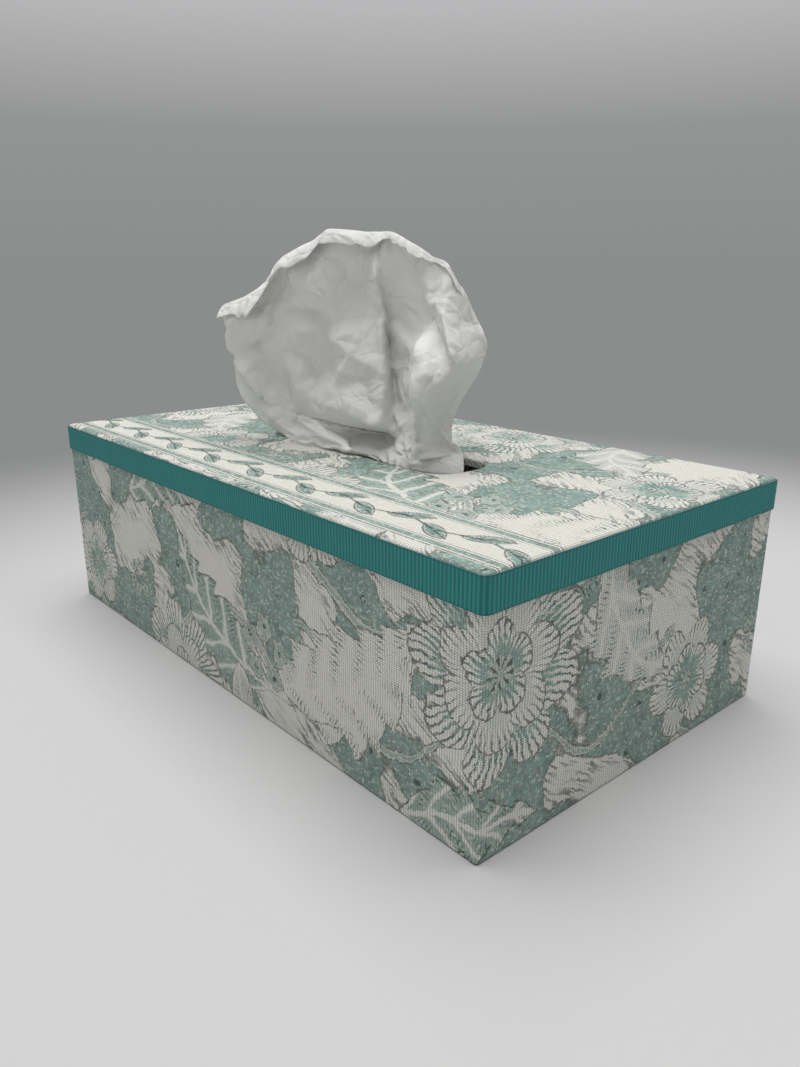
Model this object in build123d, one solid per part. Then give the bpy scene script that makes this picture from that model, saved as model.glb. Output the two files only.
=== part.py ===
from build123d import *
from math import cos, floor, pi, sin
import os

# A tissue box cover of board and printed canvas, standing over its carton of tissues.
# Millimetres. The origin is on the table, under the middle of the cover. X runs along the
# slot, the front is at -Y and Z is up.

# Cover boards, measured over the bare boards, and the height over the finished top
board_box_length = 257.4
board_box_width = 141.2
cover_height = 81.6
board_thickness = 2.0
board_corner = 0.8

# Canvas, and how far it is turned under the boards' edges
fabric_thickness = 0.45
hem_height = 14.0
slot_turn_in = 10.0
folded_corner = 2.1
top_edge_radius = 1.2
slot_edge_radius = 1.0
foot_edge_radius = 0.9

# Paper lining, which stops short of each folded edge
lining_thickness = 0.3
lining_setback = 3.0

# Grosgrain ribbon round the top, over the raw edge of the top canvas
ribbon_width = 10.0
ribbon_thickness = 0.42
ribbon_drop = 0.8
ribbon_below_skirt = 0.6
rib_pitch = 1.42
rib_depth = 0.14
ribbon_butt_gap = 0.2
ribbon_butt_from_corner = 30.0

# Finished slot in the top
slot_length = 108.0
slot_width = 28.0
slot_corner = 10.0

# Carton inside the cover: the free room round it, and its card
end_play = 8.1
side_play = 7.8
head_play = 10.5
card_thickness = 0.5
card_corner = 0.6
flap_share = 0.62
flap_inset = 1.0
window_end_margin = 42.85
window_side_margin = 35.05

# Film glued under the carton's window, with a slit that the tissue holds open
film_thickness = 0.12
film_margin = 8.0
slit_end_margin = 8.0
slit_width = 15.0

# Window and slit end in near half circles, by this share of their width
end_corner_share = 0.49

# Stack of folded tissues, partly used: the free room round and above it in the carton, and how
# much of each leaf's height stands out before the groove to the next
stack_end_play = 11.85
stack_side_play = 5.55
stack_head_play = 16.9
leaf_pitch = 2.5
leaf_notch = 1.2
leaf_face_share = 0.8
leaf_groove_share = 0.9

# Tissue that stands in the slot, and the narrower tail that hangs from it into the carton
tissue_thickness = 0.4
tissue_height = 80.0
tail_clearance = 0.3
tail_middle = 22.0
tail_foot_width = 0.86
tail_foot_depth = 0.45
columns_per_line = 3
rows_per_point = 2
tail_rows = 4
roll_rows = 3

# Lines up the tissue, from its free left edge round the front and the back to its free edge
# behind: how far its rim rolls over, then places above the slot for a slot and a height of
# these sizes
lines_slot_length = 108.0
lines_slot_width = 28.0
lines_height = 80.0
TISSUE_LINES = (
    (3.4, (12, -9, 0), (6, -16, 2), (-10, -17, 2), (-27, -18, 2),
     (-43, -19, 6), (-57, -23, 17), (-61, -25, 35), (-65, -25, 53)),
    (4.6, (14, -9, 0), (9, -14, 3), (1, -15, 5), (-27, -17, 11),
     (-35, -18, 21), (-39, -19, 34), (-40, -20, 47), (-42, -20, 58)),
    (4.4, (17, -10, 0), (2, -13, 2), (-4, -8, 5), (-12, -14, 11),
     (-17, -13, 22), (-17, -13, 38), (-18, -15, 56), (-23, -16, 71)),
    (4.6, (19, -10, 0), (9, -9, 3), (-2, 0, 6), (2, -12, 11),
     (4, -12, 24), (0, -9, 41), (-2, -9, 62), (-4, -10, 82)),
    (3.8, (24, -11, 0), (20, -8, 3), (13, 1, 7), (17, -9, 12),
     (19, -10, 23), (15, -5, 42), (12, -4, 60), (8, -5, 81)),
    (2.2, (30, -12, 0), (29, -10, 4), (26, -8, 8), (23, -7, 15),
     (20, -5, 25), (15, -2, 42), (13, -2, 60), (17, -3, 81)),
    (2.0, (35, -12, 0), (35, -11, 4), (34, -9, 8), (31, -6, 17),
     (30, -3, 26), (29, 0, 42), (30, 0, 58), (24, -1, 77)),
    (1.4, (38, -12, 0), (40, -14, 4), (40, -8, 11), (45, -19, 17),
     (45, -18, 26), (40, -12, 42), (38, -5, 54), (34, 0, 72)),
    (1.0, (48, -11, 0), (52, -13, 3), (48, -5, 10), (50, -12, 17),
     (54, -12, 26), (54, -6, 42), (48, -1, 54), (40, 2, 69)),
    (0.8, (51, -4, 0), (55, -6, 3), (51, -3, 10), (44, 1, 17),
     (48, 4, 29), (53, 7, 42), (51, 7, 51), (45, 5, 60)),
    (0.7, (50, 2, 0), (46, 3, 4), (41, 4, 10), (38, 6, 18),
     (43, 8, 29), (50, 10, 39), (50, 11, 46), (43, 11, 52)),
    (0.5, (42, 9, 0), (38, 10, 4), (35, 12, 9), (35, 15, 17),
     (37, 18, 26), (38, 20, 34), (37, 21, 40), (34, 21, 45)),
    (0.5, (20, 13, 0), (19, 14, 5), (18, 15, 10), (17, 17, 18),
     (15, 19, 27), (13, 20, 36), (11, 21, 43), (8, 21, 49)),
    (0.5, (-6, 11, 0), (-8, 12, 5), (-10, 13, 10), (-13, 14, 18),
     (-17, 15, 27), (-20, 17, 36), (-23, 17, 42), (-25, 17, 47)),
)

# The rolled rim seen from its end: forward and up, for a roll of size 1
ROLL_PATH = ((0.0, 0.0), (0.5, -0.1), (1.0, -0.65), (1.4, -1.3))

# How far the lines between the places round their corners off, along and across the tissue
rounding_up = 0.7
rounding_across = 0.5

# Heights that follow from the layers
board_top = cover_height - fabric_thickness
wall_top = board_top - board_thickness
wall_foot = fabric_thickness
side_fabric_top = board_top - board_corner
ribbon_top = cover_height - ribbon_drop
ribbon_foot = ribbon_top - ribbon_width
skirt_foot = ribbon_foot + ribbon_below_skirt
turn_in_foot = wall_top - fabric_thickness

# Plan sizes that follow from the layers
inside_length = board_box_length - 2 * board_thickness
inside_width = board_box_width - 2 * board_thickness
side_fabric_length = board_box_length + 2 * fabric_thickness
side_fabric_width = board_box_width + 2 * fabric_thickness
side_fabric_corner = board_corner + fabric_thickness
top_fabric_length = side_fabric_length + 2 * fabric_thickness
top_fabric_width = side_fabric_width + 2 * fabric_thickness
hem_reach = fabric_thickness + lining_thickness
carton_length = inside_length - 2 * hem_reach - 2 * end_play
carton_width = inside_width - 2 * hem_reach - 2 * side_play
carton_height = wall_top - hem_reach - head_play
window_length = carton_length - 2 * window_end_margin
window_width = carton_width - 2 * window_side_margin
slit_length = window_length - 2 * slit_end_margin
stack_length = carton_length - 4 * card_thickness - 2 * stack_end_play
stack_width = carton_width - 2 * card_thickness - 2 * stack_side_play
stack_height = carton_height - 2 * card_thickness - stack_head_play


def prism(length, width, low, high, corner=0.0):
    """An upright prism on a centred rectangle, with rounded corners where one is given."""
    outline = RectangleRounded(length, width, corner) if corner else Rectangle(length, width)
    return Pos(0, 0, low) * extrude(outline, high - low)


def tube(length, width, wall, low, high):
    """A square-cornered upright tube, measured outside."""
    inner = prism(length - 2 * wall, width - 2 * wall, low, high)
    return prism(length, width, low, high) - inner


def slot_prism(grow, low, high):
    """The slot's shape, grown outwards by the same amount all round."""
    corner = slot_corner + grow
    return prism(slot_length + 2 * grow, slot_width + 2 * grow, low, high, corner)


def edges_at(shape, height):
    """The edges that lie flat at one height."""
    return shape.edges().filter_by_position(Axis.Z, height - 1e-3, height + 1e-3)


def long_wall(side):
    """The front wall for side -1 and the back wall for side 1; they run the whole length."""
    height = wall_top - wall_foot
    wall = Box(board_box_length, board_thickness, height)
    outer_edges = wall.edges().filter_by(Axis.Z).group_by(Axis.Y)[-1]
    wall = fillet(outer_edges, board_corner)
    turned = wall if side > 0 else Rot(0, 0, 180) * wall
    place = side * (board_box_width - board_thickness) / 2
    return Pos(0, place, wall_foot + height / 2) * turned


def end_wall(side):
    """The left wall for side -1 and the right wall for side 1; they fit between the long ones."""
    height = wall_top - wall_foot
    place = side * (board_box_length - board_thickness) / 2
    return Pos(place, 0, wall_foot + height / 2) * Box(board_thickness, inside_width, height)


def top_board_blank():
    """The top board before its slot is cut, with the upper edges eased."""
    blank = prism(board_box_length, board_box_width, wall_top, board_top, board_corner)
    return chamfer(edges_at(blank, board_top), board_corner / 2)


def top_board():
    return top_board_blank() - slot_prism(fabric_thickness, wall_top, board_top)


def side_fabric():
    """One strip round the four walls, turned under their lower edge and up inside."""
    wrap = prism(side_fabric_length, side_fabric_width, 0, side_fabric_top, side_fabric_corner)
    wrap = fillet(edges_at(wrap, 0), foot_edge_radius)
    wrap -= prism(board_box_length, board_box_width, wall_foot, side_fabric_top, board_corner)
    wrap -= prism(inside_length, inside_width, 0, wall_foot)
    return wrap + tube(inside_length, inside_width, fabric_thickness, 0, hem_height)


def top_fabric():
    """The top piece: over the board, down outside the side fabric and in through the slot."""
    skin = prism(top_fabric_length, top_fabric_width, skirt_foot, cover_height, folded_corner)
    skin = fillet(edges_at(skin, cover_height), top_edge_radius)
    skin -= prism(
        side_fabric_length, side_fabric_width, skirt_foot, side_fabric_top, side_fabric_corner
    )
    skin -= top_board_blank()
    board_middle = (wall_top + board_top) / 2
    skin -= prism(board_box_length, board_box_width, skirt_foot, board_middle, board_corner)
    skin += slot_prism(fabric_thickness, turn_in_foot, board_top)
    skin += slot_prism(fabric_thickness + slot_turn_in, turn_in_foot, wall_top)
    skin -= slot_prism(0, turn_in_foot, cover_height)
    rim = edges_at(skin, cover_height).filter_by(lambda edge: abs(edge.center().Y) < slot_width)
    rim = rim.filter_by(lambda edge: abs(edge.center().X) < slot_length)
    return fillet(rim, slot_edge_radius)


def top_lining():
    """Paper under the top board, stepping down over the canvas turned in round the slot."""
    under_turn_in = turn_in_foot - lining_thickness
    paper = prism(inside_length, inside_width, wall_top - lining_thickness, wall_top)
    turn_in = fabric_thickness + slot_turn_in
    paper += slot_prism(turn_in + lining_thickness, under_turn_in, wall_top)
    paper -= slot_prism(turn_in, turn_in_foot, wall_top)
    return paper - slot_prism(lining_setback, under_turn_in, wall_top)


def side_lining():
    """Paper round the inside of the walls, stepping over the hem of the side fabric."""
    over_hem_length = inside_length - 2 * fabric_thickness
    over_hem_width = inside_width - 2 * fabric_thickness
    step_top = hem_height + lining_thickness
    paper_top = wall_top - lining_thickness
    paper = tube(inside_length, inside_width, lining_thickness, hem_height, paper_top)
    paper += tube(inside_length, inside_width, hem_reach, hem_height, step_top)
    over_hem = tube(over_hem_length, over_hem_width, lining_thickness, lining_setback, hem_height)
    return paper + over_hem


def rounded_path(length, width, corner, distance):
    """A point, and its outward direction, at a distance along a rounded rectangle."""
    arc = corner * pi / 2
    sides = (width - 2 * corner, length - 2 * corner, width - 2 * corner, length - 2 * corner)
    centres = ((1, 1), (-1, 1), (-1, -1), (1, -1))
    half = (length / 2 - corner, width / 2 - corner)
    for number, (side, (along, across)) in enumerate(zip(sides, centres)):
        quarter = number * pi / 2
        centre = Vector(along * half[0], across * half[1])
        heading = Vector(cos(quarter + pi / 2), sin(quarter + pi / 2))
        if distance <= side:
            outward = Vector(cos(quarter), sin(quarter))
            return centre + outward * corner - heading * (side - distance), outward
        distance -= side
        if distance <= arc:
            turn = quarter + distance / corner
            outward = Vector(cos(turn), sin(turn))
            return centre + outward * corner, outward
        distance -= arc
    return rounded_path(length, width, corner, 0)


def ribbon():
    """Ribbed ribbon, its ribs upright, with its two ends butted at the back."""
    inner = prism(top_fabric_length, top_fabric_width, ribbon_foot, ribbon_top, folded_corner)
    base = ribbon_thickness - rib_depth
    length = top_fabric_length + 2 * base
    width = top_fabric_width + 2 * base
    corner = folded_corner + base
    around = 2 * (length + width) - (8 - 2 * pi) * corner
    ribs = floor(around / rib_pitch)
    points = []
    for step in range(2 * ribs):
        point, outward = rounded_path(length, width, corner, around * step / (2 * ribs))
        points.append(point + outward * (rib_depth if step % 2 else 0))
    band = Pos(0, 0, ribbon_foot) * extrude(make_face(Polyline(*points, close=True)), ribbon_width)
    butt_x = -board_box_length / 2 + ribbon_butt_from_corner
    butt = Box(ribbon_butt_gap, 4 * ribbon_thickness, ribbon_width)
    butt_y = (top_fabric_width + ribbon_thickness) / 2
    return band - inner - Pos(butt_x, butt_y, ribbon_foot + ribbon_width / 2) * butt


def tissue_carton():
    """One folded and glued card carton, with its outer flaps lapped on both ends."""
    body_length = carton_length - 2 * card_thickness
    carton = prism(body_length, carton_width, 0, carton_height)
    carton = fillet(carton.edges().filter_by(Axis.X), card_corner)
    inner_length = body_length - 2 * card_thickness
    inner_width = carton_width - 2 * card_thickness
    carton -= prism(inner_length, inner_width, card_thickness, carton_height - card_thickness)
    window_corner = window_width * end_corner_share
    under_top = carton_height - card_thickness
    carton -= prism(window_length, window_width, under_top, carton_height, window_corner)
    flap_height = carton_height * flap_share
    flap_width = carton_width - 2 * flap_inset
    for side in (-1, 1):
        flap = Box(card_thickness, flap_width, flap_height - card_corner)
        place = side * (body_length + card_thickness) / 2
        carton += Pos(place, 0, card_corner + (flap_height - card_corner) / 2) * flap
    return carton


def carton_film():
    """Thin film under the window, slit along its middle."""
    film_top = carton_height - card_thickness
    film_foot = film_top - film_thickness
    length = window_length + 2 * film_margin
    width = window_width + 2 * film_margin
    film = prism(length, width, film_foot, film_top)
    slit_corner = slit_width * end_corner_share
    return film - prism(slit_length, slit_width, film_foot, film_top, slit_corner)


def tissue_stack():
    """Folded tissues, one in another, whose folds show as leaves along both long sides."""
    leaves = floor(stack_height / leaf_pitch)
    pitch = stack_height / leaves
    half = stack_width / 2
    side = [(half, card_thickness)]
    for leaf in range(leaves):
        low = card_thickness + leaf * pitch
        side.append((half, low + pitch * leaf_face_share))
        if leaf < leaves - 1:
            side.append((half - leaf_notch, low + pitch * leaf_groove_share))
            side.append((half, low + pitch))
    side.append((half - leaf_notch, card_thickness + stack_height))
    mirrored = [(-across, height) for across, height in reversed(side)]
    profile = make_face(Plane.YZ * Polyline(*side, *mirrored, close=True))
    return Pos(-stack_length / 2, 0, 0) * extrude(profile, stack_length, dir=(1, 0, 0))


def on_curve(points, place, rounding):
    """A point along the points, for a place from 0 to 1; rounding takes the corners off."""
    spans = len(points) - 1
    number = min(floor(place * spans), spans - 1)
    share = place * spans - number
    first = points[number]
    second = points[number + 1]
    before = points[max(0, number - 1)]
    after = points[min(spans, number + 2)]
    straight = first * (1 - share) + second * share
    smooth = 0.5 * (
        2 * first
        + (second - before) * share
        + (2 * before - 5 * first + 4 * second - after) * share**2
        + (3 * first - before - 3 * second + after) * share**3
    )
    return straight * (1 - rounding) + smooth * rounding


def tissue_lines():
    """The lines up the tissue, fitted to the slot and the tissue's height."""
    slot_level = cover_height - slot_edge_radius
    across = slot_length / lines_slot_length
    deep = slot_width / lines_slot_width
    high = tissue_height / lines_height
    return [
        [Vector(x * across, y * deep, slot_level + z * high) for x, y, z in line[1:]]
        for line in TISSUE_LINES
    ]


def tissue_row(lines, up, columns):
    """One row of points across the tissue; up is 0 at the slot and 1 at the rim."""
    row = [on_curve(line, up, rounding_up) for line in lines]
    return [on_curve(row, column / columns, rounding_across) for column in range(columns + 1)]


def tail_row(held, share, foot):
    """One row of points across the tail; share is 0 at its foot and 1 at the slot."""
    wide = tail_foot_width + (1 - tail_foot_width) * share
    deep = tail_foot_depth + (1 - tail_foot_depth) * share**3
    row = []
    for point in held:
        height = foot + (point.Z - foot) * share
        row.append(Vector(tail_middle + (point.X - tail_middle) * wide, point.Y * deep, height))
    return row


def rolled_row(rim, share, high):
    """One row of points on the rolled rim; share is 0 at the rim and 1 at its free edge."""
    path = [Vector(0, -forward, up) for forward, up in ROLL_PATH]
    sizes = [Vector(line[0] * high, 0, 0) for line in TISSUE_LINES]
    turned = on_curve(path, share, rounding_up)
    row = []
    for column, point in enumerate(rim):
        size = on_curve(sizes, column / (len(rim) - 1), rounding_across).X
        row.append(point + turned * size)
    return row


def tissue_rows():
    """The rows of points over the tissue, from its tail to its rolled rim."""
    lines = tissue_lines()
    columns = columns_per_line * (len(lines) - 1)
    panel_rows = rows_per_point * (len(lines[0]) - 1)
    panel = [tissue_row(lines, row / panel_rows, columns) for row in range(panel_rows + 1)]
    foot = card_thickness + stack_height + tail_clearance
    tail = [tail_row(panel[0], row / tail_rows, foot) for row in range(tail_rows)]
    high = tissue_height / lines_height
    roll = [rolled_row(panel[-1], (row + 1) / roll_rows, high) for row in range(roll_rows)]
    return tail + panel + roll


def popped_up_tissue():
    """The standing tissue, as a thin solid between two faceted sides."""
    rows = tissue_rows()
    last_row = len(rows) - 1
    last_column = len(rows[0]) - 1
    sides = ([], [])
    for row, line in enumerate(rows):
        offset_rows = ([], [])
        for column, point in enumerate(line):
            along = line[min(column + 1, last_column)] - line[max(column - 1, 0)]
            upward = rows[min(row + 1, last_row)][column] - rows[max(row - 1, 0)][column]
            normal = along.cross(upward).normalized() * (tissue_thickness / 2)
            offset_rows[0].append(point + normal)
            offset_rows[1].append(point - normal)
        sides[0].append(offset_rows[0])
        sides[1].append(offset_rows[1])
    facets = []

    def patch(a, b, c, d):
        facets.append(Face(Wire.make_polygon([a, b, c])))
        facets.append(Face(Wire.make_polygon([a, c, d])))

    front, back = sides
    for row in range(last_row):
        for column in range(last_column):
            patch(
                front[row][column],
                front[row][column + 1],
                front[row + 1][column + 1],
                front[row + 1][column],
            )
            patch(
                back[row][column],
                back[row + 1][column],
                back[row + 1][column + 1],
                back[row][column + 1],
            )
        for column in (0, last_column):
            patch(
                front[row][column],
                front[row + 1][column],
                back[row + 1][column],
                back[row][column],
            )
    for row in (0, last_row):
        for column in range(last_column):
            patch(
                front[row][column],
                front[row][column + 1],
                back[row][column + 1],
                back[row][column],
            )
    return Solid(Shell(facets))


PARTS = {
    "top_board": top_board,
    "front_wall": lambda: long_wall(-1),
    "back_wall": lambda: long_wall(1),
    "left_wall": lambda: end_wall(-1),
    "right_wall": lambda: end_wall(1),
    "side_fabric": side_fabric,
    "top_fabric": top_fabric,
    "ribbon": ribbon,
    "top_lining": top_lining,
    "side_lining": side_lining,
    "tissue_carton": tissue_carton,
    "carton_film": carton_film,
    "tissue_stack": tissue_stack,
    "popped_up_tissue": popped_up_tissue,
}

os.makedirs("parts", exist_ok=True)
for name, make in PARTS.items():
    solid = make()
    solid.label = name
    export_step(solid, f"parts/{name}.step")
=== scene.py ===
from math import cos, pi, radians, sin
from random import Random

import bmesh
import bpy
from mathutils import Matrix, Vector, noise
from mathutils.bvhtree import BVHTree
from mathutils.geometry import delaunay_2d_cdt


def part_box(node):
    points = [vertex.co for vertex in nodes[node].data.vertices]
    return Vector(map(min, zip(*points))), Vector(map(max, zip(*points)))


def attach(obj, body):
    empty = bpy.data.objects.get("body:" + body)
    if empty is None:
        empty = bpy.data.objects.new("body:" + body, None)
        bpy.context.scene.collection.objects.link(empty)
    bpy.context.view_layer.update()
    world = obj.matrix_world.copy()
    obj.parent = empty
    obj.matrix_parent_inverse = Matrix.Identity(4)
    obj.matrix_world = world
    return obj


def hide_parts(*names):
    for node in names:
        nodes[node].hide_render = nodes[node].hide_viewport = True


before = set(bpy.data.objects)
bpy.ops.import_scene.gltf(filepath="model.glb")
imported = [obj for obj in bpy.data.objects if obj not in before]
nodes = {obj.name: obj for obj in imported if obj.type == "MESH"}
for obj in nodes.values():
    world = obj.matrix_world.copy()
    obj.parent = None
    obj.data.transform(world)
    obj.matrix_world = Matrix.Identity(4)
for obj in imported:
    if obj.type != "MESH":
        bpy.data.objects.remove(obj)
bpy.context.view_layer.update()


# Grey boards: the top board and the four walls that the cover is built on. They are solid
# recycled card, cut with a knife and glued edge to edge, and canvas and paper hide them on
# every side.
class Wire:
    """One output of a material's nodes; arithmetic on it adds Math nodes."""

    def __init__(self, tree, socket):
        self.tree = tree
        self.socket = socket

    def node(self, kind, sockets=None, out=0, **settings):
        """Any other node, from its type, the values or links of its sockets and its settings."""
        made = self.tree.nodes.new("ShaderNode" + kind)
        for name, value in settings.items():
            if name == "stops":
                while len(made.color_ramp.elements) < len(value):
                    made.color_ramp.elements.new(0.5)
                for element, (position, color) in zip(made.color_ramp.elements, value):
                    element.position = position
                    element.color = color
            else:
                setattr(made, name, value)
        for key, value in (sockets or {}).items():
            if isinstance(value, Wire):
                self.tree.links.new(value.socket, made.inputs[key])
            else:
                made.inputs[key].default_value = value
        return Wire(self.tree, made.outputs[out])

    def math(self, operation, *others):
        """A Math node on this number and the others."""
        return self.node("Math", dict(enumerate((self, *others))), operation=operation)

    def vector(self, operation, *others, out=0):
        """A Vector Math node; its output 1 is a number, such as a length."""
        return self.node("VectorMath", dict(enumerate((self, *others))), out, operation=operation)

    def __add__(self, other):
        return self.math("ADD", other)

    def __sub__(self, other):
        return self.math("SUBTRACT", other)

    def __mul__(self, other):
        return self.math("MULTIPLY", other)

    def __truediv__(self, other):
        return self.math("DIVIDE", other)

    def __pow__(self, other):
        return self.math("POWER", other)

    def __abs__(self):
        return self.math("ABSOLUTE")

    def __rsub__(self, other):
        return self.node("Math", {0: other, 1: self}, operation="SUBTRACT")

    __radd__ = __add__
    __rmul__ = __mul__

    def sine(self):
        return self.math("SINE")

    def step(self, low, high):
        """0 below low and 1 above high, with a soft change between them."""
        return self.node("MapRange", {0: self, 1: low, 2: high}, interpolation_type="SMOOTHSTEP")

    def blend(self, first, second):
        """One number where this mask is 0, the other where it is 1."""
        return self.node("Mix", {0: self, 2: first, 3: second})

    def tint(self, first, second):
        """One colour where this mask is 0, the other where it is 1."""
        return self.node("Mix", {0: self, 6: first, 7: second}, 2, data_type="RGBA")

    def noise(self, size, detail=2.0, roughness=0.5, out=0):
        """Soft noise from 0 to 1, with blots of about the given size."""
        sockets = {"Vector": self, "Scale": 1.0 / size, "Detail": detail, "Roughness": roughness}
        return self.node("TexNoise", sockets, out)

    def part(self, axis):
        """The X, Y or Z of a place."""
        return self.node("SeparateXYZ", {0: self}, "XYZ".index(axis))


def shade(red, green, blue):
    """A colour as a screen shows it, from 0 to 255, in the numbers that a shader takes."""
    def linear(value):
        value /= 255
        return value / 12.92 if value <= 0.04045 else ((value + 0.055) / 1.055) ** 2.4
    return (linear(red), linear(green), linear(blue), 1.0)


def start_finish(name, **settings):
    """A new material with its constants set, and the place on the piece in millimetres."""
    material = bpy.data.materials.new(name)
    material.use_nodes = True
    tree = material.node_tree
    for socket, value in settings.items():
        tree.nodes["Principled BSDF"].inputs[socket.replace("_", " ")].default_value = value
    place = Wire(tree, tree.nodes.new("ShaderNodeTexCoord").outputs["Object"])
    return material, place.node("VectorMath", {0: place, 3: 1000.0}, operation="SCALE")


def end_finish(material, color, roughness=None, height=None, depth=0.0001):
    """Joins colour, roughness and height, which is 0 to 1 for a depth in metres."""
    shader = material.node_tree.nodes["Principled BSDF"]
    material.node_tree.links.new(color.socket, shader.inputs["Base Color"])
    if roughness:
        material.node_tree.links.new(roughness.socket, shader.inputs["Roughness"])
    if height:
        bump = height.node("Bump", {"Height": height, "Distance": depth, "Strength": 1.0})
        material.node_tree.links.new(bump.socket, shader.inputs["Normal"])


def finish_node(name, material):
    """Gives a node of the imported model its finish."""
    mesh = nodes[name].data
    mesh.materials.clear()
    mesh.materials.append(material)


grey_board, place = start_finish("grey_board", Specular_IOR_Level=0.2)
fibre = place.noise(1.3, 6.0, 0.7)
layers = place.vector("MULTIPLY", (0.15, 0.15, 6.0)).noise(1.0, 3.0).step(0.35, 0.65)
fleck = place.noise(0.45, 2.0).step(0.62, 0.7)
board_color = (fibre * 0.6 + layers * 0.4).tint(shade(128, 123, 114), shade(165, 160, 150))
board_color = (fleck * 0.5).tint(board_color, shade(92, 88, 84))
end_finish(grey_board, board_color, fibre * 0.2 + 0.75, fibre, 0.0002)
for name in ("top_board", "front_wall", "back_wall", "left_wall", "right_wall"):
    finish_node(name, grey_board)


# Printed canvas: one strip round the walls and one piece over the top, both glued down. It is a
# plain cotton weave, printed in a sage wash and a dark outline with a garden pattern of
# blossoms, leaves and stems. The pattern is worked out here in millimetres.
warp_pitch = 1.0
weft_pitch = 0.7
cream = shade(228, 227, 219)
# painted shade for the gaps between the threads
thread_gap_shade = shade(92, 94, 86)
sage = shade(154, 182, 174)
deep_sage = shade(106, 138, 130)
ink_shade = shade(50, 63, 58)
repeat_width = 168.0
repeat_height = 124.0
seed_pitch = 8.5
sage_from = 0.497
garland_pitch = 15.0
stripe_from_middle = 9.7
border_half = 12.4


def local(flat, at, turn):
    """The place from a motif's middle, turned; each next column is half a drop lower."""
    moved = flat.vector("SUBTRACT", (*at, 0.0))
    column = (moved.part("X") / repeat_width).math("ROUND")
    drop = column.node("VectorMath", {0: (0, repeat_height / 2, 0), 3: column}, operation="SCALE")
    half = (repeat_width / 2, repeat_height / 2, 1000.0)
    wrapped = moved.vector("ADD", drop).vector("WRAP", half, tuple(-side for side in half))
    return wrapped.node("VectorRotate", {0: wrapped, 3: -turn}, rotation_type="Z_AXIS")


def lay(printed, mask, wash, ink):
    """Prints a motif's wash and ink over what is printed already."""
    return mask.blend(printed[0], wash), mask.blend(printed[1], ink)


def petal_ring(printed, radius, angle, petals, size, notch, turn, wash, rays):
    """A ring of petals with an ink outline, and rays drawn in from their tips."""
    lobe = (angle * (petals / 2) + turn).math("COSINE").math("ABSOLUTE") ** 0.55
    edge = lobe * (size * notch) + size * (1 - notch) - radius
    mask = edge.step(-0.5, -0.1)
    line = abs(edge).step(0.55, 0.2)
    ray = (angle * rays).math("COSINE")
    drawn = (ray + edge * (-2.6 / size)).step(0.1, 0.6)
    washed = (ray * 0.5 + edge * (3.2 / size)).step(0.35, 1.1) * wash
    return lay(printed, mask, washed, line.math("MAXIMUM", drawn * 0.85))


def blossom(printed, flat, at, size, turn, rings):
    """A round blossom seen from above, drawn from its outer petals in to its seeds.

    A ring gives its count of petals, its share of the size, the depth of its notches, its turn,
    its wash and its count of rays.
    """
    spot = local(flat, at, turn)
    radius = spot.vector("LENGTH", out=1)
    angle = spot.part("Y").math("ARCTAN2", spot.part("X"))
    for petals, share, notch, start, wash, rays in rings:
        printed = petal_ring(
            printed, radius, angle, petals, size * share, notch, start, wash, rays
        )
    seed = (radius * (9.5 / size)).sine() * (angle * 9.0).sine()
    heart = radius.step(size * 0.17, size * 0.15)
    return lay(printed, heart, 0.55, seed.step(0.1, 0.5))


def leaf(printed, flat, at, turn, length, width, bend, teeth, wash, hatch):
    """A curved, toothed leaf with a bare midrib, side veins and slanting pen strokes."""
    spot = local(flat, at, turn)
    along = spot.part("X") / length + 0.5
    across = spot.part("Y") + (along - 0.5) ** 2.0 * (-bend * length)
    inside = along.math("MINIMUM", 1.0).math("MAXIMUM", 0.0)
    swell = (inside ** 0.75 * pi).sine()
    away = abs(across)
    tooth = (along * teeth + away * (-0.5 / width)).math("FRACT")
    edge = (tooth * -0.34 + 1.0) * swell * width - away
    mask = edge.step(-0.45, 0.0)
    line = abs(edge).step(0.6, 0.2)
    vein = (along * teeth + away * (-1.3 / width)).math("PINGPONG", 0.5)
    stroke = (along * hatch + away * (hatch * 0.9 / length)).math("PINGPONG", 0.5)
    shadow = stroke + edge * (-0.18 / width) + vein * 0.42
    drawn = shadow.step(0.46, 0.56)
    rib = away.step(0.7, 1.1)
    washed = vein.step(0.04, 0.16) * rib * wash
    return lay(printed, mask, washed, line.math("MAXIMUM", drawn * rib * 0.9))


def stem(printed, flat, level, swing, turns, start, width):
    """A stem that winds along the cloth, with an outline on both sides."""
    spot = local(flat, (0.0, level), 0.0)
    wave = (spot.part("X") * (turns * 2 * pi / repeat_width) + start).sine() * swing
    away = abs(spot.part("Y") - wave)
    outline = away.step(width - 0.5, width)
    return lay(printed, away.step(width + 0.6, width + 0.2), away.step(width, 0.3) * 0.8, outline)


def sprig(printed, flat, at, size, petals, count, ring):
    """Small round flowers or berries, evenly spaced on a ring."""
    spot = local(flat, at, 0.3)
    radius = spot.vector("LENGTH", out=1)
    angle = spot.part("Y").math("ARCTAN2", spot.part("X"))
    turned = angle.math("WRAP", pi / count, -pi / count)
    x = radius * turned.math("COSINE") - ring
    y = radius * turned.sine()
    near = (x ** 2.0 + y ** 2.0) ** 0.5
    lobe = (y.math("ARCTAN2", x) * petals / 2).sine()
    edge = abs(lobe) * (size * 0.35) + size * 0.7 - near
    line = abs(edge).step(0.5, 0.15)
    heart = near.step(size * 0.28, size * 0.18)
    washed = edge.step(0.0, 1.2) * 0.75
    return lay(printed, edge.step(-0.4, 0.0), washed, line.math("MAXIMUM", heart))


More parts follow.
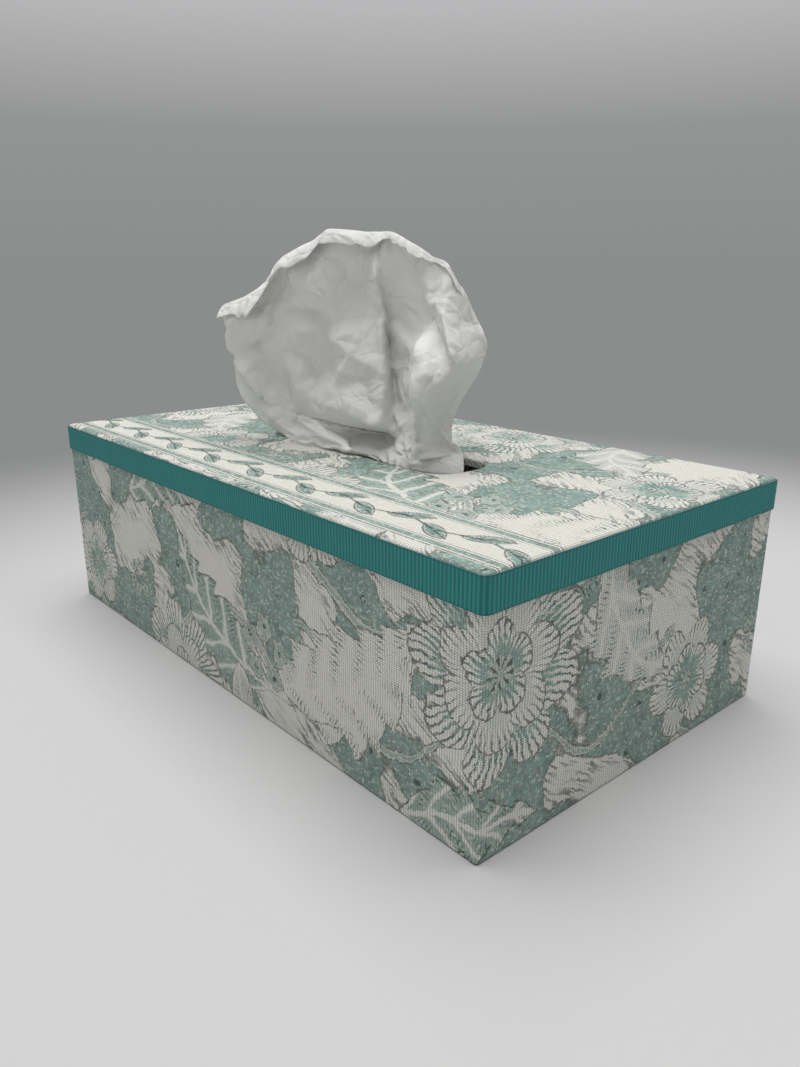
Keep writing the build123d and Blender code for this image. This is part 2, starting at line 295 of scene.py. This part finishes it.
def border(printed, flat, middle):
    """A cream band along the cloth with a stripe on both sides and a garland between them."""
    x = flat.part("X")
    level = flat.part("Y") - middle
    away = abs(level)
    cell = (x / garland_pitch).math("FLOOR")
    side = cell.math("PINGPONG", 1.0) * 2.0 - 1.0
    along = (x / garland_pitch).math("FRACT") * garland_pitch - garland_pitch / 2
    across = level * side - along * 0.42 - 2.6
    swell = (1 - (along / 6.6) ** 2.0).math("MAXIMUM", 0.0) ** 0.7 * 3.1
    edge = swell - abs(across)
    leaf_mask = edge.step(-0.3, 0.1)
    leaf_ink = abs(edge).step(0.55, 0.15).math("MAXIMUM", abs(across).step(0.4, 0.15) * leaf_mask)
    stroke = (along * 0.9 + abs(across) * 0.8).math("PINGPONG", 0.5).step(0.34, 0.42)
    leaf_ink = leaf_ink.math("MAXIMUM", stroke * edge.step(1.5, 0.6) * leaf_mask * 0.8)
    wave = (x * (pi / garland_pitch)).sine() * -1.6
    twig = abs(level - wave).step(0.6, 0.25)
    stripe = abs(away - stripe_from_middle).step(1.3, 1.1)
    line = abs(away - 11.9).step(0.35, 0.15).math("MAXIMUM", abs(away - 7.6).step(0.3, 0.1) * 0.7)
    dash = (x * 0.8).math("PINGPONG", 0.5).step(0.3, 0.4) * stripe
    ink = leaf_ink.math("MAXIMUM", line).math("MAXIMUM", twig).math("MAXIMUM", dash * 0.5)
    wash = (leaf_mask * edge.step(0.2, 1.2)).math("MAXIMUM", stripe * 0.9)
    return lay(printed, away.step(border_half + 0.4, border_half), wash, ink)


def garden_print(flat):
    """The wash and the ink, each from 0 to 1, over the whole cloth."""
    wobble = flat.noise(16.0, 3.0, out=1).vector("SUBTRACT", (0.5, 0.5, 0.5))
    ragged = flat.noise(1.7, 1.0, out=1).vector("SUBTRACT", (0.5, 0.5, 0.5))
    drawn = flat.vector("ADD", wobble.vector("MULTIPLY", (7.0, 7.0, 0.0)))
    drawn = drawn.vector("ADD", ragged.vector("MULTIPLY", (1.7, 1.7, 0.0)))
    field = drawn.noise(34.0, 2.0, 0.35)
    in_sage = field.step(sage_from - 0.009, sage_from + 0.009)
    scatter = drawn.node("TexVoronoi", {"Vector": drawn, "Scale": 1 / seed_pitch})
    ripple = (scatter * (seed_pitch * 2 * pi / 1.75)).sine().step(0.35, 0.85)
    seeds = scatter.step(0.17, 0.11)
    slanted = drawn.node("VectorRotate", {0: drawn, 3: 0.6}, rotation_type="Z_AXIS")
    strokes = slanted.vector("MULTIPLY", (0.11, 0.95, 1.0)).noise(1.0, 0.0).step(0.52, 0.6)
    shaded = field.step(0.37, 0.47)
    rim = abs(field - sage_from).step(0.010, 0.003)
    inked = in_sage.blend(strokes * shaded * 0.8, (ripple * 0.45).math("MAXIMUM", seeds))
    printed = in_sage * (1 - ripple * 0.25), inked.math("MAXIMUM", rim * 0.8)
    printed = stem(printed, drawn, 20.0, 22.0, 1, 0.0, 2.0)
    printed = stem(printed, drawn, -24.0, 13.0, 2, 1.3, 1.4)
    printed = leaf(printed, drawn, (-52.0, -22.0), 0.55, 88.0, 21.0, 0.5, 7.0, 0.0, 46.0)
    printed = leaf(printed, drawn, (30.0, 34.0), 2.5, 76.0, 18.0, -0.6, 6.0, 0.85, 34.0)
    printed = leaf(printed, drawn, (58.0, -8.0), -0.9, 62.0, 15.0, 0.7, 5.0, 0.25, 30.0)
    printed = leaf(printed, drawn, (-6.0, -44.0), 0.1, 54.0, 12.0, -0.5, 5.0, 0.8, 26.0)
    printed = blossom(
        printed, drawn, (4.0, 0.0), 33.0, 0.4,
        (
            (9, 1.0, 0.34, 0.3, 1.0, 74),
            (7, 0.68, 0.30, 0.9, 0.25, 54),
            (5, 0.40, 0.30, 0.2, 0.95, 30),
        ),
    )
    printed = blossom(
        printed, drawn, (-74.0, 30.0), 21.0, 1.2,
        ((6, 1.0, 0.42, 0.0, 0.35, 50), (6, 0.60, 0.36, 1.57, 1.0, 34)),
    )
    printed = sprig(printed, drawn, (66.0, 34.0), 4.6, 5, 5, 9.5)
    return sprig(printed, drawn, (-30.0, 34.0), 2.6, 4, 6, 6.0)


def canvas(material, across, up, printed_at, border_at=None):
    """Woven and printed canvas; across and up are places on the cloth laid flat."""
    flat = across.node("CombineXYZ", {0: across, 1: up})
    pull = flat.noise(9.0, 2.0, out=1).vector("SUBTRACT", (0.5, 0.5, 0.5))
    pulled = flat.vector("ADD", pull.vector("MULTIPLY", (0.9, 0.9, 0.0)))
    warp = pulled.part("X") / warp_pitch
    weft = pulled.part("Y") / weft_pitch
    crossing = warp.node("CombineXYZ", {0: warp.math("FLOOR"), 1: weft.math("FLOOR")})
    parity = (crossing.part("X") + crossing.part("Y")).math("PINGPONG", 1.0)
    uneven = crossing.node("TexWhiteNoise", {"Vector": crossing}, noise_dimensions="2D")
    warp_round = 1 - (warp.math("FRACT") - 0.5) ** 2.0 * 4.0
    weft_round = 1 - (weft.math("FRACT") - 0.5) ** 2.0 * 4.0
    over_warp = warp_round * (weft_round * 0.4 + 0.6)
    over_weft = weft_round * (warp_round * 0.4 + 0.6)
    slub = flat.vector("MULTIPLY", (0.16, 1.0, 1.0)).noise(0.9, 1.0)
    weave = parity.blend(over_warp, over_weft) * (slub * 0.4 + uneven * 0.3 + 0.6)
    printed = garden_print(flat.vector("ADD", (*printed_at, 0.0)))
    wash, ink = border(printed, flat, border_at) if border_at else printed
    blotch = flat.noise(7.0, 4.0, 0.6)
    grain = flat.noise(1.6, 2.0)
    taken = wash * (grain * 0.8 + weave * 0.3 + uneven * 0.35).step(0.38, 0.72)
    depth = blotch.step(0.35, 0.75) * 0.7 + uneven * 0.4
    color = taken.tint(cream, depth.tint(sage, deep_sage))
    pressed = (grain * 0.6 + weave * 0.4 + uneven * 0.35).step(0.42, 0.7)
    color = (ink * pressed * 0.85).tint(color, ink_shade)
    # Painted shade: the gaps between the threads are darkened, where the holes of the weave lie in
    # shadow.
    color = (weave.step(0.62, 0.05) * 0.82).tint(color, thread_gap_shade)
    end_finish(material, color, None, weave, 0.00016)


def box_in_mm(node):
    """A node's lowest and highest corner in millimetres."""
    return [corner * 1000 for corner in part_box(node)]


cover_low, cover_high = box_in_mm("top_fabric")
length = cover_high.x - cover_low.x
width = cover_high.y - cover_low.y

side_canvas, place = start_finish("side_canvas", Roughness=0.9, Specular_IOR_Level=0.25)
x, y, z = place.part("X"), place.part("Y"), place.part("Z")
on_front = (x / length - y / width).math("GREATER_THAN", 0.0)
round_front = x + y + width / 2
round_back = (x + y) * -1.0 - (length + width / 2)
canvas(side_canvas, on_front.blend(round_back, round_front), z, (36.0, 8.0))
finish_node("side_fabric", side_canvas)

top_canvas, place = start_finish("top_canvas", Roughness=0.9, Specular_IOR_Level=0.25)
normal = place.node("TexCoord", out=1)
over_edge = cover_high.z - place.part("Z")
folded = normal.node("VectorMath", {0: normal, 3: over_edge}, operation="SCALE")
opened = place.vector("ADD", folded)
canvas(top_canvas, opened.part("X"), opened.part("Y"), (-20.0, 66.0), -55.0)
finish_node("top_fabric", top_canvas)


# Grosgrain ribbon round the top, glued over the raw edge of the top canvas. It is woven
# polyester with upright ribs and a dark selvedge on both edges; the grooves between the ribs get
# painted shade, so the ribs' crowns read lighter.
ribbon_low, ribbon_high = box_in_mm("ribbon")
thread_pitch = 0.34
corner_radius = 2.52
ribbon_finish, place = start_finish("ribbon", Specular_IOR_Level=0.35)
z = place.part("Z")
from_edge = (z - ribbon_low.z).math("MINIMUM", ribbon_high.z - z)
thread = (z * (2 * pi / thread_pitch)).sine() * 0.5 + 0.5
uneven = place.vector("MULTIPLY", (1.0, 1.0, 0.2)).noise(2.4, 3.0)
inset = (ribbon_high.x - corner_radius, ribbon_high.y - corner_radius, 1000.0)
past = place.vector("ABSOLUTE").vector("SUBTRACT", inset).vector("MAXIMUM", (0.0, 0.0, 0.0))
# Painted shade: darker in the grooves between the ribs, lighter on their crowns.
lit_crown = (past.vector("LENGTH", out=1) - corner_radius).step(-0.15, 0.0)
ribbon_color = uneven.tint(shade(36, 129, 127), shade(52, 149, 146))
ribbon_color = lit_crown.tint(shade(26, 103, 102), ribbon_color)
ribbon_color = (from_edge.step(0.7, 0.25) * 0.45).tint(ribbon_color, shade(26, 80, 80))
end_finish(ribbon_finish, ribbon_color, uneven * 0.15 + 0.5, thread, 0.00003)
finish_node("ribbon", ribbon_finish)


# Paper linings inside the cover: smooth cream paper, pasted over the boards and over the edges
# of the canvas that is turned in at the slot and at the foot.
lining, place = start_finish("lining_paper", Specular_IOR_Level=0.3)
fibre = place.noise(0.8, 5.0, 0.65)
cloud = place.noise(22.0, 2.0)
lining_color = (fibre * 0.5 + cloud * 0.5).tint(shade(214, 207, 189), shade(232, 227, 212))
end_finish(lining, lining_color, fibre * 0.15 + 0.65, fibre, 0.00006)
for name in ("top_lining", "side_lining"):
    finish_node(name, lining)


# The carton that the cover stands over: white card, folded from one blank and glued at its
# ends, with clear film glued under its window and slit for the tissues.
card, place = start_finish("carton_card", Specular_IOR_Level=0.4)
fibre = place.noise(0.9, 5.0, 0.6)
cloud = place.noise(30.0, 2.0)
card_color = (fibre * 0.3 + cloud * 0.7).tint(shade(203, 203, 199), shade(222, 222, 218))
end_finish(card, card_color, cloud * 0.15 + 0.45, fibre, 0.00004)
finish_node("tissue_carton", card)

film, place = start_finish("film", Roughness=0.15, IOR=1.5, Alpha=0.22)
haze = place.noise(14.0, 3.0)
ripple = place.noise(9.0, 1.0)
film_color = haze.tint(shade(214, 220, 222), shade(236, 240, 241))
end_finish(film, film_color, haze * 0.2 + 0.1, ripple, 0.0006)
finish_node("carton_film", film)


# The tissues left in the carton: soft white paper, folded one in another, so that each fold
# shows as a leaf along the stack. The colour darkens in bands along the stack as painted shade
# between the leaves.
paper, place = start_finish("tissue_stack", Roughness=0.95, Specular_IOR_Level=0.1)
fibre = place.noise(0.5, 5.0, 0.7)
leaf_line = place.vector("MULTIPLY", (0.05, 0.05, 1.0)).noise(0.55, 2.0)
# Painted shade: darker bands between the folded leaves along the stack.
paper_color = (fibre * 0.4 + leaf_line * 0.6).tint(shade(205, 205, 201), shade(238, 238, 235))
end_finish(paper, paper_color, None, fibre * 0.4 + leaf_line * 0.6, 0.0004)
finish_node("tissue_stack", paper)


# The tissue drawn up through the slot: one sheet of two-ply paper, pinched where the slot holds
# it and spread above like a fan, with its top edge rolled to the front. Its left half hangs
# free over the lid, and its right half folds forward and then round to the back.
slot_edge_radius = 1.0
slot_level = cover_high.z - slot_edge_radius

# Lines from the pinch up to the rolled edge, in millimetres above the slot, from the free left
# edge round the front and back to the free edge behind. Each starts with the size of its roll.
sheet_lines = (
    (3.4, (12, -9, 0), (6, -16, 2), (-10, -17, 2), (-27, -18, 2),
     (-43, -19, 6), (-57, -23, 17), (-61, -25, 35), (-65, -25, 53)),
    (6.4, (14, -9, 0), (9, -14, 3), (1, -15, 5), (-27, -17, 11),
     (-35, -18, 21), (-38, -19, 34), (-39, -19, 47), (-39, -19, 61)),
    (5.0, (17, -10, 0), (2, -13, 2), (-4, -8, 5), (-12, -14, 11),
     (-17, -13, 22), (-17, -13, 38), (-20, -16, 56), (-28, -18, 70)),
    (3.6, (19, -10, 0), (9, -9, 3), (-2, 0, 6), (2, -12, 11),
     (4, -12, 24), (0, -9, 41), (-3, -9, 62), (-9, -12, 81)),
    (3.4, (24, -11, 0), (20, -8, 3), (13, 1, 7), (17, -9, 12),
     (19, -10, 23), (15, -5, 42), (12, -4, 60), (7, -5, 80)),
    (2.2, (30, -12, 0), (29, -10, 4), (23, -6, 7), (19, -4, 14),
     (16, -2, 24), (11, 1, 42), (11, 0, 60), (17, -3, 80)),
    (2.0, (35, -12, 0), (35, -11, 4), (33, -9, 8), (32, -7, 17),
     (30, -5, 26), (28, -1, 42), (30, 1, 57), (24, -1, 77)),
    (1.4, (40, -13, 0), (40, -13, 4), (39, -12, 10), (42, -15, 18),
     (45, -18, 27), (41, -12, 41), (37, -3, 53), (34, 0, 72)),
    (1.0, (53, -3, 0), (52, -2, 5), (48, -4, 13), (47, -11, 19),
     (49, -15, 26), (52, -9, 37), (45, -3, 50), (40, 2, 69)),
    (0.8, (50, 0, 0), (47, 1, 5), (44, -1, 11), (41, -2, 15),
     (41, 0, 22), (51, 0, 38), (46, 4, 50), (44, 6, 60)),
    (0.7, (45, 5, 0), (42, 6, 3), (39, 6, 9), (39, 6, 15),
     (41, 8, 22), (46, 12, 33), (48, 14, 43), (43, 12, 53)),
    (0.5, (40, 8, 0), (37, 9, 3), (34, 10, 8), (32, 11, 14),
     (33, 14, 22), (37, 18, 32), (36, 21, 40), (34, 21, 46)),
    (0.5, (20, 13, 0), (19, 14, 5), (18, 15, 10), (17, 17, 18),
     (15, 19, 27), (13, 20, 36), (11, 21, 43), (8, 21, 49)),
    (0.5, (-6, 11, 0), (-8, 12, 5), (-10, 13, 10), (-13, 14, 18),
     (-17, 15, 27), (-20, 17, 36), (-23, 17, 42), (-25, 17, 47)),
)

# Creases on the front meet here: across, above the slot and how far the sheet stands forward
front_creases = (
    # the star in the middle
    (-24, 48, 1.2), (-14, 54, 1.4), (-4, 50, 1.4), (-12, 46, -1.2), (-2, 43, -0.8), (-16, 39, 1.6),
    (-8, 38, -1.0), (-17, 30, 0.0), (-17, 20, 1.8), (-1, 36, 1.4), (6, 31, 1.8), (-6, 29, -1.6),
    (-14, 22, -1.4), (-24, 6, -1.0), (-12, 14, 1.0), (9, 22, -1.2), (14, 6, 1.0), (-2, 20, 0.6),
    # towards the rim
    (-22, 68, 1.4), (-12, 72, -1.2), (0, 70, 0.8), (10, 66, -1.0), (20, 62, 1.2), (6, 54, -0.8),
    (14, 44, 0.8), (12, 14, 0.0), (8, 80, 0.0), (-8, 82, 0.0), (24, 78, 0.0), (20, 26, 0.4),
    # the left part
    (-60, 52, 0.0), (-52, 42, 1.4), (-46, 54, -0.8), (-42, 34, -1.2), (-34, 44, 1.2), (-58, 26, -0.4),
    (-46, 20, 1.4), (-34, 24, -1.0), (-38, 10, 0.8), (-26, 32, 0.8), (-32, 60, 0.6), (-28, 16, -0.6),
    # the drape and its foot
    (30, 58, 0.0), (36, 55, 1.0), (34, 47, -1.4), (40, 49, 1.6), (31, 41, 1.0), (37, 39, -1.8),
    (42, 42, 1.2), (33, 33, 1.4), (39, 31, -1.4), (45, 34, 1.0), (36, 24, 1.4), (42, 22, -1.2),
    (48, 26, 1.0), (38, 15, 1.4), (46, 14, -0.6), (26, 1, -0.6), (35, 9, -0.7), (30, 3, 1.6),
    (42, 5, -0.3), (50, 38, 1.5), (47, 48, -1.4), (44, 43, 1.5), (54, 46, 0.8), (54, 30, -0.6),
    (52, 8, 0.8), (46, 62, 0.0), (28, 20, 0.0),
)


def facets(places):
    """Flat facets between places that stand forward or back, to look heights up in."""
    flat = [Vector(place[:2]) for place in places]
    faceted = delaunay_2d_cdt(flat, [], [], 0, 0.01)
    points, triangles, sources = faceted[0], faceted[2], faceted[3]
    raised = [(point.x, point.y, places[source[0]][2]) for point, source in zip(points, sources)]
    return BVHTree.FromPolygons(raised, triangles)


def facet_height(tree, x, y):
    """The height of the facets at a place, or none beyond them."""
    hit = tree.ray_cast(Vector((x, y, 50)), Vector((0, 0, -1)))[0]
    return hit.z if hit else 0.0


# The crumples cover this length and height, of which the open sheet takes the lower part. Their
# rows lie closer together than their columns.
crumpled_length = 200
crumpled_height = 110
crumpled_panel = 85
row_share = 0.8


def scattered(pitch, height, seed):
    """Places scattered over the whole sheet, each a little forward or back."""
    scatter = Random(seed)
    return [
        (
            (column + scatter.uniform(-0.4, 0.4)) * pitch,
            (row + scatter.uniform(-0.4, 0.4)) * pitch * row_share,
            scatter.uniform(-height, height),
        )
        for column in range(-1, int(crumpled_length / pitch) + 2)
        for row in range(-1, int(crumpled_height / pitch / row_share) + 2)
    ]


star = facets(front_creases)
crumples = facets(scattered(14.0, 2.0, 3)), facets(scattered(5.5, 1.0, 8))


def on_curve(points, place, softness):
    """A point along the points, for a place from 0 to 1; softness rounds the corners off."""
    spans = len(points) - 1
    number = min(int(place * spans), spans - 1)
    share = place * spans - number
    before, first, second, after = (
        Vector(points[max(0, min(spans, number + step))]) for step in (-1, 0, 1, 2)
    )
    smooth = 0.5 * (
        2 * first
        + (second - before) * share
        + (2 * before - 5 * first + 4 * second - after) * share**2
        + (3 * first - before - 3 * second + after) * share**3
    )
    return first.lerp(second, share).lerp(smooth, softness)


across_count = 220
rise_count = 104
roll_count = 12
tail_count = 20
softness_up = 0.7
softness_across = 0.5
softness_roll = 0.6

# The front faces a little to the right, and ends at a share of the width where the sheet turns
# round to the back
tissue_front = Vector((sin(radians(15)), -cos(radians(15)), 0))
turns_back = 0.68
turn_width = 0.05

# The creases are placed as they are seen from the camera, so a place that stands proud of an
# upright plane through the drape takes the crease that lies further left and lower. Left of the
# drape they are moved to the left and up.
crease_height = 2.4
plane_middle = 28
plane_slope = 0.27
sideways = 0.88
downwards = 0.13
star_move = 6
star_move_from = 24
star_move_over = 10

# The pleats above the slot, the torn left edge and the place on the rim where the roll drops
pleat_count = 12
pleat_depth = 0.6
pleat_height = 0.4
tear_depth = 1.7
drop_size = 2.4
drop_place = 0.07
drop_width = 0.03

# The tail narrows through the slit in the film and ends just above the stack
tail_middle = 22
tail_foot_width = 0.86
tail_foot_depth = 0.45
tail_clearance = 0.7
tail_foot = box_in_mm("tissue_stack")[1].z + tail_clearance - slot_level

# The rolled edge from the rim to its free end, forward and up, for a roll of size 1
roll_path = (
    (0, 0, 0), (0.15, 0.12, 0), (0.5, -0.1, 0), (0.85, -0.45, 0), (1.15, -0.85, 0), (1.4, -1.3, 0),
)


def tissue_point(across, up):
    """A place on the open sheet, with its folds; up is 0 at the slot and 1 at the rim."""
    rib = [on_curve(line[1:], up, softness_up) for line in sheet_lines]
    spot = on_curve(rib, across, softness_across)
    front = 1 - max(0.0, min(1.0, (across - turns_back) / turn_width))
    proud = (spot.x - plane_middle) * plane_slope - spot.y
    moved = star_move * max(0.0, min(1.0, (star_move_from - spot.x) / star_move_over))
    seen_x = spot.x + moved - sideways * proud
    seen_z = spot.z - moved - downwards * proud
    crease = facet_height(star, seen_x, seen_z) * crease_height * front
    # crumples cover the back too, more weakly, and all folds fade out towards the slot
    crumple = sum(
        facet_height(tree, across * crumpled_length, up * crumpled_panel) for tree in crumples
    )
    forward = crease + crumple * (0.4 + 0.6 * front)
    spot += tissue_front * forward * min(1.0, up * 6)
    # pleats where the slot holds the sheet
    pinch = max(0.0, 1 - up / pleat_height) ** 1.5
    spot.y += pleat_depth * pinch * sin(across * 2 * pi * pleat_count + 1.5 * sin(across * 19))
    # the torn edge, more ragged higher up
    torn = max(0.0, 1 - across * 40) * min(1.0, up * 2)
    tear = noise.noise(Vector((0, up * 19, 4))) + 0.8 * noise.noise(Vector((0, up * 47, 9)))
    spot.x += tear_depth * torn * tear
    return spot


def tail_point(across, share):
    """A place on the tail; share is 0 at its foot and 1 at the slot."""
    held = tissue_point(across, 0.0)
    wide = tail_foot_width + (1 - tail_foot_width) * share
    deep = tail_foot_depth + (1 - tail_foot_depth) * share**3
    spot = Vector((tail_middle + (held.x - tail_middle) * wide, held.y * deep, tail_foot))
    spot.z += (held.z - spot.z) * share
    spot.x += 1.2 * (1 - share) * noise.noise(Vector((across * 9, share * 3, 1)))
    return spot


def roll_point(across, share):
    """A place on the rolled edge; share is 0 at the rim and 1 at its free edge."""
    broad = noise.noise(Vector((across * 17, 0, 2)))
    fine = noise.noise(Vector((across * 55, 0, 6)))
    uneven = (0.5 * broad + 0.35 * fine) * min(1.0, across * 12)
    sizes = [(line[0], 0, 0) for line in sheet_lines]
    size = on_curve(sizes, across, softness_roll).x * (1 + uneven)
    size += drop_size * max(0.0, 1 - abs(across - drop_place) / drop_width)
    turned = on_curve(roll_path, share, softness_up)
    return tissue_point(across, 1.0) + (tissue_front * turned.x + Vector((0, 0, turned.y))) * size


def tissue_place(column, row):
    """Where a vertex of the flat sheet goes; rows count from the foot of the tail."""
    across = column / across_count
    if row < tail_count:
        return tail_point(across, row / tail_count)
    up = (row - tail_count) / rise_count
    if up <= 1:
        return tissue_point(across, up)
    return roll_point(across, (up - 1) * rise_count / roll_count)


def mix_shader(material, share, other):
    """Mixes another shader into a finish, by a share from 0 to 1."""
    tree = material.node_tree
    own = Wire(tree, tree.nodes["Principled BSDF"].outputs[0])
    mixed = own.node("MixShader", {0: share, 1: own, 2: other})
    tree.links.new(mixed.socket, tree.nodes["Material Output"].inputs["Surface"])


shape = bmesh.new()
shape.loops.layers.uv.new("sheet")
rows = tail_count + rise_count + roll_count
bmesh.ops.create_grid(
    shape, x_segments=across_count, y_segments=rows, size=0.5, calc_uvs=True
)
for vertex in shape.verts:
    column = round((vertex.co.x + 0.5) * across_count)
    row = round((vertex.co.y + 0.5) * rows)
    vertex.co = (tissue_place(column, row) + Vector((0, 0, slot_level))) / 1000
tissue_mesh = bpy.data.meshes.new("tissue")
shape.to_mesh(tissue_mesh)
shape.free()
for polygon in tissue_mesh.polygons:
    polygon.use_smooth = True
tissue = bpy.data.objects.new("tissue", tissue_mesh)
bpy.context.collection.objects.link(tissue)
thickness = tissue.modifiers.new("two_plies", "SOLIDIFY")
thickness.thickness = 0.00018
thickness.offset = 0.0

tissue_white, place = start_finish("tissue_paper", Roughness=0.95, Specular_IOR_Level=0.1)
fibre = place.noise(0.6, 5.0, 0.7)
crepe = place.vector("MULTIPLY", (1.0, 1.0, 0.35)).noise(0.9, 3.0)
bent = place.vector("ADD", place.noise(14.0, 1.0, out=1).vector("MULTIPLY", (9.0, 9.0, 9.0)))
wide, narrow = (
    bent.node("TexVoronoi", {"Vector": bent, "Scale": 1 / size}, feature="DISTANCE_TO_EDGE")
    for size in (17.0, 7.5)
)
height = wide * 3.4 + wide.step(0.045, 0.0) * 0.22 + narrow * 1.5 + crepe * 0.12
tissue_color = fibre.tint(shade(232, 232, 229), shade(243, 243, 241))
end_finish(tissue_white, tissue_color, None, height, 0.001)
mix_shader(tissue_white, 0.22, place.node("BsdfTranslucent", {"Color": shade(240, 240, 236)}))
tissue_mesh.materials.append(tissue_white)
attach(tissue, "cover")
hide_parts("popped_up_tissue")


# The studio: a pale floor with a painted falloff of light that darkens it into a grey backdrop away
# from a pool of light round the box, one large soft lamp above, a little towards the box's left end,
# and an even sky.
def background_rays(wire):
    """1 on rays that show the background: the camera's own, mirrored and passing through."""
    camera_ray, mirrored, passing = (wire.node("LightPath", out=number) for number in (0, 3, 6))
    return camera_ray.math("MAXIMUM", mirrored).math("MAXIMUM", passing)


backdrop_grey = shade(139, 140, 140)
lit_pool_middle = (60.0, 20.0, 0.0)
lit_pool_radius = 180.0
falloff_end_radius = 540.0
sky_level = 0.43
lamp_place = Vector((-0.15, 0.0, 2.1))

shape = bmesh.new()
bmesh.ops.create_circle(shape, cap_ends=True, segments=96, radius=6.0)
floor_mesh = bpy.data.meshes.new("floor")
shape.to_mesh(floor_mesh)
shape.free()
floor = bpy.data.objects.new("floor", floor_mesh)
bpy.context.collection.objects.link(floor)
floor_finish, place = start_finish("floor", Roughness=0.8, Specular_IOR_Level=0.2)
grain = place.noise(3.0, 2.0)
end_finish(floor_finish, grain.tint(shade(192, 192, 192), shade(195, 194, 194)))
# Painted light: camera rays see the floor darken into the grey backdrop with distance from a painted
# pool of light round the box.
distance = place.vector("SUBTRACT", lit_pool_middle).vector("LENGTH", out=1)
painted_falloff = distance.step(lit_pool_radius, falloff_end_radius) * background_rays(place)
mix_shader(floor_finish, painted_falloff, place.node("Emission", {"Color": backdrop_grey}))
floor_mesh.materials.append(floor_finish)

world = bpy.data.worlds.new("studio")
world.use_nodes = True
bpy.context.scene.world = world
sky = Wire(world.node_tree, world.node_tree.nodes.new("ShaderNodeTexCoord").outputs["Generated"])
stops = ((0.0, backdrop_grey), (0.14, shade(147, 148, 148)), (0.25, shade(184, 183, 185)))
backdrop = sky.node("ValToRGB", {"Fac": sky.part("Z")}, stops=stops)
light = background_rays(sky).tint((sky_level, sky_level, sky_level, 1.0), backdrop)
world.node_tree.links.new(light.socket, world.node_tree.nodes["Background"].inputs["Color"])

lamp_data = bpy.data.lights.new("softbox", "AREA")
lamp_data.shape = "RECTANGLE"
lamp_data.size = 2.0
lamp_data.size_y = 2.0
lamp_data.energy = 47.0
lamp = bpy.data.objects.new("softbox", lamp_data)
lamp.location = lamp_place
lamp.rotation_euler = lamp_place.to_track_quat("Z", "Y").to_euler()
bpy.context.collection.objects.link(lamp)

# The camera stands and looks as a fit to the box's corners in the photo gives it
camera_data = bpy.data.cameras.new("camera")
camera_data.lens = 28.405
camera_data.sensor_width = 36.0
camera_data.clip_start = 0.01
camera = bpy.data.objects.new("camera", camera_data)
camera.location = (0.2539, -0.2061, 0.1487)
camera.rotation_euler = (radians(72.51), 0.0, radians(48.93))
bpy.context.collection.objects.link(camera)
bpy.context.scene.camera = camera
bpy.context.scene.view_settings.view_transform = "Standard"
